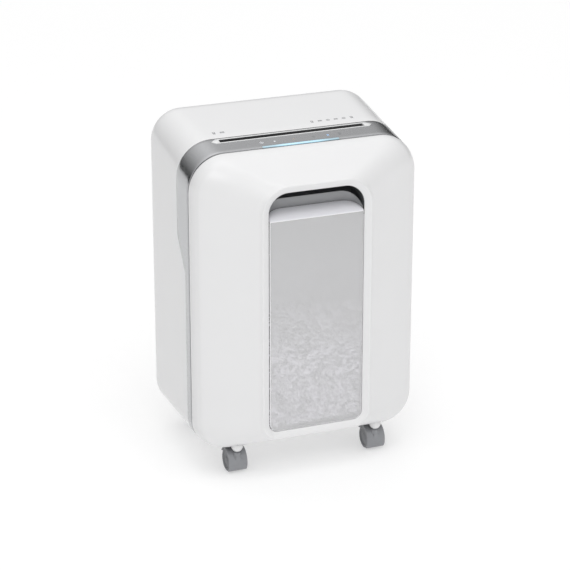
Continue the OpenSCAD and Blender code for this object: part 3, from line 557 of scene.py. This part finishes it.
def build_front_shell():
    """White drawer front: rows from the seam over the face, round the frame and back inside."""
    edge = SEAM - DRAWER_GAP
    low_f, top_f = OPEN_LOW - FRAME_W, OPEN_TOP + FRAME_W
    outer_keys = [
        (edge - 2.4, HALF, LOW, FRONT_TOP, LOW_CORNER, CORNER),
        (edge - 6, HALF - 0.3, LOW + 0.1, FRONT_TOP - 0.4, LOW_CORNER, CORNER),
        (edge - 12, HALF - 2.0, LOW + 0.3, FRONT_TOP - 1.9, LOW_CORNER, CORNER - 1),
        (edge - 18, HALF - 5.8, LOW + 0.8, FRONT_TOP - 4.6, LOW_CORNER - 1, CORNER - 3),
        (edge - 24, HALF - 12.5, LOW + 2.2, FRONT_TOP - 8.8, LOW_CORNER - 3, CORNER - 5),
        (edge - 36, HALF - 35, LOW + 8.0, FRONT_TOP - 19, LOW_CORNER - 7, CORNER - 10),
        (edge - 50, HALF - 65, LOW + 15.2, FRONT_TOP - 31.5, 31, 44),
        (FRONT + 1.6, FRAME_OUT + 1.6, low_f - 0.7, top_f + 1.0, 25, 43),
    ]
    path = [(edge - back, HALF - inset, LOW + inset, FRONT_TOP - inset, LOW_CORNER - inset, CORNER - inset)
            for back, inset in ((0.0, 1.9), (0.2, 1.1), (0.7, 0.5), (1.5, 0.12))]
    path += ease_rows(outer_keys, 5)
    f = FRAME_OUT
    path += [
        (FRONT + 0.7, f + 0.9, low_f - 0.3, top_f + 0.4, 25.6, 42.4),
        (FRONT + 0.15, f + 0.1, low_f + 0.4, top_f - 0.4, 25, 41.6),
        (FRONT, f - 0.9, low_f + 1.3, top_f - 1.3, 24, 40.6),
        (FRONT + 0.2, f - 1.8, low_f + 2.2, top_f - 2.2, 23.2, 39.8),
        (FRONT + 3.7, OPEN_HALF + 0.9, OPEN_LOW - 0.9, OPEN_TOP + 0.9, 15, 32),
        (FRONT + 4.3, OPEN_HALF + 0.25, OPEN_LOW - 0.25, OPEN_TOP + 0.25, 14.3, 31.3),
        (FRONT + 5.0, OPEN_HALF, OPEN_LOW, OPEN_TOP, OPENING_R_LOW, OPENING_R_TOP),
        (FRONT + 9, OPEN_HALF, OPEN_LOW, OPEN_TOP, OPENING_R_LOW, OPENING_R_TOP),
        (FRONT + 9, OPEN_HALF + 2.2, OPEN_LOW - 2.2, OPEN_TOP + 2.2, 16, 33),
        (edge - 46, HALF - 64, LOW + 18, FRONT_TOP - 34, 31, 44),
        (edge - 25, HALF - 18, LOW + 6, FRONT_TOP - 13, LOW_CORNER - 8, CORNER - 8),
        (edge - 12, HALF - 5, LOW + 3.4, FRONT_TOP - 5, LOW_CORNER - 4, CORNER - 4),
        (edge, HALF - 3, LOW + 3, FRONT_TOP - 3, LOW_CORNER - 3, CORNER - 3),
    ]
    shell = loft("front_shell_skin", [shell_ring(*p) for p in path], MATS["white_shell"], closed=True,
                 smooth_deg=32)
    for side in ("left", "right"):
        lo, hi = box_mm("front_" + side + "_caster")
        cx = (lo.x + hi.x) / 2
        cy = FRONT + CASTER_BACK
        arc = [(cx + NOTCH_R * math.cos(a), cy + NOTCH_R * math.sin(a))
               for a in (math.pi + math.pi * i / 24 for i in range(25))]
        notch = arc + [(cx + NOTCH_R, SEAM + 5), (cx - NOTCH_R, SEAM + 5)]
        cut(shell, prism("notch", notch, "z", LOW - 10, LOW + 30))
    shade(shell, 32)
    return settle(shell, "drawer", "white_shell", "front_shell")


# ---------------------------------------------------------------- window, scoop and recess


def build_window():
    """Translucent panel with a rounded rim painted pale as a highlight."""
    half, z0, z1 = WINDOW_HI.x, WINDOW_LO.z, WINDOW_HI.z
    y0, y1 = WINDOW_LO.y, WINDOW_HI.y
    rows = []
    for dy, inset in ((3.0, 0.0), (1.0, 0.0), (0.35, 0.25), (0.05, 0.8), (0.0, 1.6)):
        rows.append(shell_ring(y0 + dy, half - inset, z0 + inset, z1 - inset, 12.8 - inset, 2.2 - inset))
    pane = loft("window_pane", rows, MATS["window_smoke"], caps=True, smooth_deg=50)
    pane.data.materials.append(WINDOW_RIM_HIGHLIGHT)
    # The slanted rim faces take the pale painted highlight.
    for face in pane.data.polygons:
        if 0.05 < abs(face.normal.y) < 0.98:
            face.material_index = 1
    return settle(pane, "drawer", "window_smoke", "window_panel")


def swept_strip(name, profile, mat, thick):
    """Cupped strip across the opening; its profile shrinks to the window's corners at both ends."""
    half = OPEN_HALF - 1.3
    steps = 72
    straight = 46
    verts, faces = [], []
    for i in range(steps + 1):
        x = half * math.sin(math.pi / 2 * (2 * i / steps - 1))
        over = max(0.0, (abs(x) - straight) / (half - straight))
        k = max(0.02, (1 - over ** 2.3)) ** (1 / 2.3)
        for back, up in profile:
            verts.append((x, SCOOP_LO.y + 0.4 + back * k, WINDOW_TOP + 0.4 + up * k))
    n = len(profile)
    for i in range(steps):
        for j in range(n - 1):
            a = i * n + j
            faces.append((a, a + 1, a + n + 1, a + n))
    strip = new_object(name, verts, faces, mat, 60)
    solid = strip.modifiers.new("thick", "SOLIDIFY")
    solid.thickness = thick * MM
    solid.offset = -1
    apply_all(strip)
    shade(strip, 60)
    return strip


def build_scoop():
    """Pale lip behind the window and the wall that rises from it, grey as painted shade."""
    lip = [(27 * t, 9.5 * t + 2.2 * math.sin(math.pi * t)) for t in (i / 14 for i in range(15))]
    settle(swept_strip("scoop_lip", lip, MATS["scoop_lilac"], 1.6), "drawer", "scoop_lilac", "handle_scoop")
    wall = [(27 + 1.2 * (1 - t) ** 2, 9.3 + 15.5 * t) for t in (i / 8 for i in range(9))]
    settle(swept_strip("scoop_wall", wall, SCOOP_WALL_PAINTED_SHADE, 1.2), "drawer", "scoop_lilac")


def build_recess():
    """Ceiling, sides and back wall of the finger recess, coloured near-black as painted shade."""
    deep = SEAM - 10
    rows = []
    for y, inset in ((FRONT + 5.2, 0.25), (FRONT + 12, 0.3), (deep, 0.6)):
        rows.append([(x, y, z) for x, z in outline(OPEN_HALF - inset, WINDOW_TOP - 6,
                                                   OPEN_TOP - inset, 2, 31 - inset)])
    keep = [row[26:] for row in rows]
    n = len(keep[0])
    verts = [p for row in keep for p in row]
    faces = []
    for i in range(len(keep) - 1):
        for j in range(n - 1):
            a = i * n + j
            faces.append((a, a + 1, a + n + 1, a + n))
    liner = new_object("recess_liner_painted_shade", verts, faces, RECESS_PAINTED_SHADE, 40)
    thick = liner.modifiers.new("thick", "SOLIDIFY")
    thick.thickness = 1.2 * MM
    thick.offset = 1
    apply_all(liner)
    shade(liner, 40)
    settle(liner, "drawer", "dark_plastic")
    pts = outline(OPEN_HALF - 0.8, WINDOW_TOP - 5, OPEN_TOP - 0.8, 2, 30)
    wall_rows = [[(x, deep - 2 + dy, z) for x, z in pts] for dy in (1.5, 0.0)]
    # Back wall of the recess, near-black as painted shade.
    wall = loft("recess_back_painted_shade", wall_rows, RECESS_PAINTED_SHADE, caps=True, smooth_deg=40)
    settle(wall, "drawer", "dark_plastic")


# ---------------------------------------------------------------- paper in the bin


def build_shred_core():
    """The body of the heap, a little behind and below the loose strips."""
    lo, hi = box_mm("paper_shreds")
    source = frame["nodes"]["paper_shreds"]
    core = bpy.data.objects.new("shred_core", source.data.copy())
    scene.collection.objects.link(core)
    for vert in core.data.vertices:
        if vert.co.y < (lo.y + 12) * MM:
            vert.co.y += 8 * MM
        if vert.co.z > (hi.z - 12) * MM:
            vert.co.z -= 6 * MM
    # The core takes the mid tone as painted shade for the depth of the heap.
    core.data.materials[0] = SHRED_MID_PAINTED_SHADE
    return settle(core, "drawer", "shred_paper", "paper_shreds")


def build_shreds():
    """Loose strips behind the window and over the top of the heap."""
    rng = random.Random(SHRED_SEED)
    heap = box_mm("paper_shreds")[1].z
    tub_hi = box_mm("bin_tub")[1]
    front = WINDOW_HI.y + 0.8
    verts, faces = [], []

    def strip(cx, cy, cz, tilt, spin, lean, length, width, curl):
        turn = (Matrix.Rotation(spin, 3, "Z") @ Matrix.Rotation(lean, 3, "X")
                @ Matrix.Rotation(tilt, 3, "Y"))
        start = len(verts)
        for i in range(3):
            u = (i - 1) * length / 2
            w = curl * (1 - (i - 1) ** 2)
            for v in (-width / 2, width / 2):
                p = turn @ Vector((u, v, w))
                verts.append((cx + p.x, cy + p.y, cz + p.z))
        faces.append((start, start + 1, start + 3, start + 2))
        faces.append((start + 2, start + 3, start + 5, start + 4))

    for _ in range(FRONT_SHREDS):
        x = rng.uniform(-OPEN_HALF + 4, OPEN_HALF - 4)
        z = rng.uniform(OPEN_LOW + 7, heap - 4 - 14 * rng.random() ** 2)
        y = front + rng.uniform(1.0, 7.0)
        strip(x, y, z, rng.uniform(-0.5, 0.5) + math.pi / 2 * rng.choice((0, 1)), rng.uniform(-0.6, 0.6),
              math.pi / 2 + rng.uniform(-0.7, 0.7), rng.uniform(4.5, 8), rng.uniform(2, 3.2),
              rng.uniform(-1.2, 1.2))
    tub_half = tub_hi.x - TUB_SIDE
    for _ in range(TOP_SHREDS):
        y = rng.uniform(front + 3, tub_hi.y - 8)
        limit = 70 if y < -110 else min(tub_half, 74 + (y + 122) * 1.5)
        x = rng.uniform(-limit, limit)
        z = heap - 5 - 26 * max(0.0, y / 90) ** 2 + rng.uniform(-5, 3) - 5 * (x / 150) ** 2
        strip(x, y, z, rng.uniform(-0.7, 0.7), rng.uniform(0, 6.28), rng.uniform(-0.7, 0.7),
              rng.uniform(7, 12), rng.uniform(2.5, 4), rng.uniform(-1.5, 1.5))
    obj = new_object("shreds", verts, faces, MATS["shred_paper"], 60)
    obj.data.materials.append(SHRED_MID_PAINTED_SHADE)
    obj.data.materials.append(SHRED_DARK_PAINTED_SHADE)
    # Two strips in five keep the paper colour; the rest take the mid and dark tones as painted shade.
    for face in obj.data.polygons:
        face.material_index = (0, 1, 0, 2, 1)[face.index // 2 % 5]
    return settle(obj, "drawer", "shred_paper")


# ---------------------------------------------------------------- casters


def lathe(profile, axis_y, axis_z, segments=64):
    """Rows turned about an axis along X; profile is pairs of x and radius."""
    rows = []
    for i in range(segments):
        a = 2 * math.pi * i / segments
        rows.append([(x, axis_y + r * math.cos(a), axis_z + r * math.sin(a)) for x, r in profile])
    return rows


def paint_slot_shade(lip):
    """The walls of the paper slot are painted black as shade inside the narrow slot, like the throat below
    it.
    """
    lip.data.materials.append(MATS["black_plastic"])
    for face in lip.data.polygons:
        x, y = face.center.x / MM, face.center.y / MM
        if abs(face.normal.z) < 0.75 and abs(x) < SLOT_REACH and abs(y - SLOT_Y) < SLOT_BAND:
            face.material_index = 1


def build_wheels(name):
    """Two turned wheels on one short axle."""
    lo, hi = box_mm(name)
    cx = (lo.x + hi.x) / 2
    r = (hi.z - lo.z) / 2
    cy, cz = (lo.y + hi.y) / 2, (lo.z + hi.z) / 2
    w = (hi.x - lo.x) / 2
    profile = [(4.3, 0.3), (4.3, r - 1.5), (4.9, r - 0.4), (5.8, r), (w - 1.8, r), (w - 0.7, r - 0.4),
               (w - 0.1, r - 1.6), (w - 0.1, r - 3.6), (w - 0.5, r - 4.1), (w - 1.7, r - 4.5),
               (w - 1.9, r - 5.2),
               (w - 1.9, 6.5), (w - 1.2, 5.6), (w - 0.5, 5.0), (w - 0.3, 4.2), (w - 0.2, 0.3)]
    verts, faces = [], []
    for side in (-1, 1):
        rows = lathe([(cx + side * x, q) for x, q in profile], cy, cz)
        base = len(verts)
        n = len(profile)
        for row in rows:
            verts.extend(row)
        for i in range(len(rows)):
            a, b = base + i * n, base + (i + 1) % len(rows) * n
            for j in range(n - 1):
                faces.append((a + j, a + j + 1, b + j + 1, b + j))
        faces.append(tuple(base + i * n for i in range(len(rows))))
        faces.append(tuple(base + i * n + n - 1 for i in range(len(rows))))
    base = len(verts)
    for x in (cx - 6, cx + 6):
        for i in range(24):
            a = 2 * math.pi * i / 24
            verts.append((x, cy + 2.4 * math.cos(a), cz + 2.4 * math.sin(a)))
    for i in range(24):
        k = (i + 1) % 24
        faces.append((base + i, base + k, base + 24 + k, base + 24 + i))
    wheels = new_object(name + "_turned", verts, faces, MATS["wheel_grey"], 40)
    return settle(wheels, BODY_OF[name], "wheel_grey", name)


# ---------------------------------------------------------------- marks


def ribbon(points, width, closed=False):
    """Flat strip of quads along a line of points in one plane."""
    quads = []
    n = len(points)
    for i in range(n if closed else n - 1):
        a, b = Vector(points[i]), Vector(points[(i + 1) % n])
        d = (b - a).normalized()
        s = Vector((-d.y, d.x)) * width / 2
        ends = d * width * 0.35
        quads.append([a + s - ends, b + s + ends, b - s + ends, a - s - ends])
    return quads


def arrow(s, w, way):
    """Arrow along X that points to the side given by way, 1 or -1."""
    shaft = ribbon([(-way * s * 0.6, 0), (way * s * 0.5, 0)], w)
    return shaft + ribbon([(0, s * 0.5), (way * s * 0.6, 0), (0, -s * 0.5)], w)


def ring(radius, n):
    return [(radius * math.cos(2 * math.pi * i / n), radius * math.sin(2 * math.pi * i / n))
            for i in range(n)]


def mark_quads(kind, size):
    """Strokes of one plain generic sign."""
    s = size / 2
    w = size * 0.12
    if kind == "power":
        arc = [(s * 0.8 * math.cos(a), s * 0.8 * math.sin(a))
               for a in (math.radians(120 + 300 * i / 20) for i in range(21))]
        return ribbon(arc, w) + ribbon([(0, s), (0, s * 0.15)], w)
    if kind == "back":
        return arrow(s, w, -1)
    if kind == "go":
        return arrow(s, w, 1)
    if kind == "bin":
        cup = [(-s * 0.45, s * 0.45), (-s * 0.35, -s * 0.7), (s * 0.35, -s * 0.7), (s * 0.45, s * 0.45)]
        return ribbon([(-s * 0.6, s * 0.6), (s * 0.6, s * 0.6)], w) + ribbon(cup, w)
    if kind == "heat":
        bars = []
        for k in (-0.3, 0.3):
            bars += ribbon([(k * s, -s * 0.7), (k * s, s * 0.7)], w)
        return bars
    if kind == "sheet":
        page = [(-s * 0.5, -0.1 * s), (-s * 0.5, s * 0.9), (s * 0.5, s * 0.9), (s * 0.5, -0.1 * s)]
        quads = ribbon(page, w, True)
        for k in (-0.4, 0.0, 0.4):
            quads += ribbon([(k * s, -s * 0.3), (k * s, -s * 0.95)], w)
        return quads
    if kind == "card":
        card = [(-s * 0.8, -s * 0.5), (-s * 0.8, s * 0.5), (s * 0.8, s * 0.5), (s * 0.8, -s * 0.5)]
        return ribbon(card, w, True) + ribbon([(-s * 0.7, s * 0.15), (s * 0.7, s * 0.15)], w)
    return ribbon(ring(s * 0.75, 20), w, True) + ribbon(ring(s * 0.12, 8), w, True)


def top_mark(name, kind, x, y, size, mat, slot):
    """Small flat sign just above the sloping top."""
    verts, faces = [], []
    for quad in mark_quads(kind, size):
        base = len(verts)
        for lift in (-0.06, 0.07):
            for p in quad:
                verts.append((x + p[0], y + p[1], top_at(y + p[1]) + lift))
        faces.append((base + 4, base + 5, base + 6, base + 7))
        for i in range(4):
            k = (i + 1) % 4
            faces.append((base + i, base + k, base + 4 + k, base + 4 + i))
    obj = new_object(name, verts, faces, mat)
    return settle(obj, "housing", slot)


# ---------------------------------------------------------------- assembly

build_rear_shell()
build_band()
build_front_shell()
build_window()
build_scoop()
build_recess()
build_shred_core()
build_shreds()
for place in ("front_left", "front_right", "rear_left", "rear_right"):
    build_wheels(place + "_wheels")
    soften(place + "_caster", 0.8, 3)
paint_slot_shade(soften("entry_lip", 0.5))
for node, width in (("caster_sockets", 0.8), ("switch_bezel", 0.5), ("rocker_switch", 0.3),
                    ("cord_gland", 0.6), ("rear_screws", 0.3)):
    soften(node, width)
soften("light_bar", 0.3).data.materials[0] = LIGHT_STRIP

TOUCH_MARKS = (("power", -57, MARK_LIT), ("back", -36, MARK_LIT), ("go", -6, MARK_AMBER),
               ("bin", 26, MARK), ("heat", 49, MARK_BLUE), ("sheet", 68, MARK))
for i, (kind, x, mat) in enumerate(TOUCH_MARKS):
    top_mark("touch_mark_%d" % i, kind, x, BAND_FRONT + 17, 6.0, mat, "light_guide")
for i, (kind, x) in enumerate((("sheet", -114), ("card", -101))):
    top_mark("top_mark_%d" % i, kind, x, BAND_BACK + 18, 7.0, MARK, "dark_plastic")
for i, kind in enumerate(("sheet", "card", "disc", "card", "disc", "sheet")):
    top_mark("top_mark_%d" % (i + 2), kind, 44 + i * 13, BAND_BACK + 19, 6.5, MARK, "dark_plastic")

# ---------------------------------------------------------------- stage, lights, camera

mesh = bpy.data.meshes.new("floor")
REACH = 14.0
corners = [(x * REACH, y * REACH, 0) for x, y in ((-1, -1), (1, -1), (1, 1), (-1, 1))]
mesh.from_pydata(corners, [], [(0, 1, 2, 3)])
floor = bpy.data.objects.new("floor", mesh)
scene.collection.objects.link(floor)
floor.location.z = -0.0002
mesh.materials.append(make_material("pale_floor", (0.6, 0.6, 0.6), 0.8, vary=0.005, vary_scale=3,
                                    bump=0.01, specular=0.2, emission=(1, 1, 1), strength=0.42))


def build_world(base, high, front, left, right):
    """Soft dome: brighter above and in front, dimmer on both sides."""
    world = bpy.data.worlds.new("studio")
    scene.world = world
    world.use_nodes = True
    tree = world.node_tree
    link = tree.links.new
    split = tree.nodes.new("ShaderNodeSeparateXYZ")
    link(tree.nodes.new("ShaderNodeTexCoord").outputs["Generated"], split.inputs["Vector"])
    total = None
    for axis, weight, sign in (("Z", high, 1), ("Y", front, -1), ("X", left, -1),
                               ("X", right, 1)):
        span = tree.nodes.new("ShaderNodeMapRange")
        span.inputs["From Min"].default_value = 0
        span.inputs["From Max"].default_value = sign
        span.inputs["To Min"].default_value = 0
        span.inputs["To Max"].default_value = weight
        link(split.outputs[axis], span.inputs["Value"])
        add = tree.nodes.new("ShaderNodeMath")
        add.operation = "ADD"
        link(span.outputs["Result"], add.inputs[0])
        if total is None:
            add.inputs[1].default_value = base
        else:
            link(total, add.inputs[1])
        total = add.outputs["Value"]
    tree.nodes["Background"].inputs["Color"].default_value = (1, 1, 1, 1)
    link(total, tree.nodes["Background"].inputs["Strength"])


build_world(0.27, 1.28, 0.46, -0.62, -0.7)
scene.view_settings.view_transform = "Standard"


def area(name, where, aim, size, power):
    data = bpy.data.lights.new(name, "AREA")
    data.shape = "RECTANGLE"
    data.size, data.size_y = size
    data.energy = power
    lamp = bpy.data.objects.new(name, data)
    scene.collection.objects.link(lamp)
    lamp.location = where
    lamp.rotation_euler = (Vector(aim) - Vector(where)).to_track_quat("-Z", "Y").to_euler()
    return lamp


area("top_soft", (-0.3, -0.6, 2.4), (0, 0, 0.3), (1.2, 1.2), 4)
area("front_key", (-1.3, -2.3, 1.9), (0, 0, 0.4), (0.6, 0.8), 6)
area("right_rim", (2.2, 0.4, 1.2), (0, 0, 0.3), (0.5, 1.4), 0.3)

AIM = Vector((-0.0012, 0.0, 0.261))
AZ, EL, DIST, LENS = 21.08, 21.51, 3.474, 141.5
az, el = math.radians(AZ), math.radians(EL)
camera_data = bpy.data.cameras.new("camera")
camera_data.lens = LENS
camera_data.sensor_width = 36
camera = bpy.data.objects.new("camera", camera_data)
scene.collection.objects.link(camera)
away = Vector((-math.sin(az) * math.cos(el), -math.cos(az) * math.cos(el), math.sin(el)))
camera.location = AIM + DIST * away
camera.rotation_euler = (AIM - camera.location).to_track_quat("-Z", "Y").to_euler()
camera_data.clip_end = 60
scene.camera = camera
